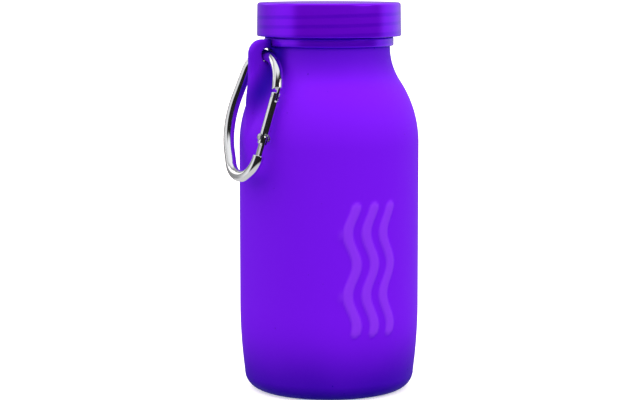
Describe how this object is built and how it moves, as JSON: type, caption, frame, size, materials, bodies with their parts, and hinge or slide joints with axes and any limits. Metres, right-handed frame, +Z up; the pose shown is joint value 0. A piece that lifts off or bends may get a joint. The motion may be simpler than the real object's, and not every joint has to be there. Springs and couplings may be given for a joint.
{
  "type": "folding water bottle",
  "caption": "Soft silicone bottle that folds down on itself, with a hard threaded neck collar, a screw cap with a seal, and a snap-gate carabiner on a moulded ear.",
  "frame": {"origin": "centre of the flat underside of the base, on the bottle's axis", "axes": "+Z up the bottle's axis to the cap, -X from the axis to the moulded ear and its carabiner"},
  "size_m": [0.0862, 0.0764, 0.165],
  "materials": {
    "silicone": "satin moulded silicone",
    "hard_plastic": "gloss moulded",
    "seal_rubber": "matte",
    "bright_metal": "polished",
    "pin_steel": "bright drawn"
  },
  "bodies": {
    "base": {"body_base": "silicone", "body_wall": "silicone"},
    "shoulder": {"body_shoulder": "silicone", "neck_collar": "hard_plastic"},
    "seal": {"cap_seal": "seal_rubber"},
    "cap": {"cap_shell": "hard_plastic"},
    "carabiner": {"carabiner_frame": "bright_metal", "gate_rivet": "pin_steel"},
    "gate": {"carabiner_gate": "bright_metal", "latch_pin": "pin_steel", "gate_plunger": "pin_steel", "gate_spring": "pin_steel"}
  },
  "joints": [
    {"name": "body_collapse", "type": "slide", "parent": "base", "child": "shoulder", "axis": [0, 0, 1], "range_m": [-0.06, 0], "stiffness_N_per_m": 300, "springref_m": 0.012, "deforming": ["body_wall"]},
    {"name": "cap_lift", "type": "slide", "parent": "shoulder", "child": "seal", "axis": [0, 0, 1], "range_m": [0, 0.014]},
    {"name": "cap_turn", "type": "hinge", "parent": "seal", "child": "cap", "pos_m": [0, 0, 0.165], "axis": [0, 0, 1], "range_deg": [0, 1261]},
    {"name": "carabiner_swing", "type": "hinge", "parent": "shoulder", "child": "carabiner", "pos_m": [-0.0297, 0, 0.1433], "axis": [-0.1149, 0.9934, 0], "range_deg": [0, 120]},
    {"name": "gate_open", "type": "hinge", "parent": "carabiner", "child": "gate", "pos_m": [-0.03884, -0.01797, 0.11033], "axis": [-0.941, -0.1089, 0.3203], "range_deg": [0, 22], "stiffness_Nm_per_rad": 0.004, "springref_deg": -17.19}
  ],
  "couplings": [
    {"joint": "cap_turn", "follows": "cap_lift", "rad_per_m": 1570.8}
  ]
}
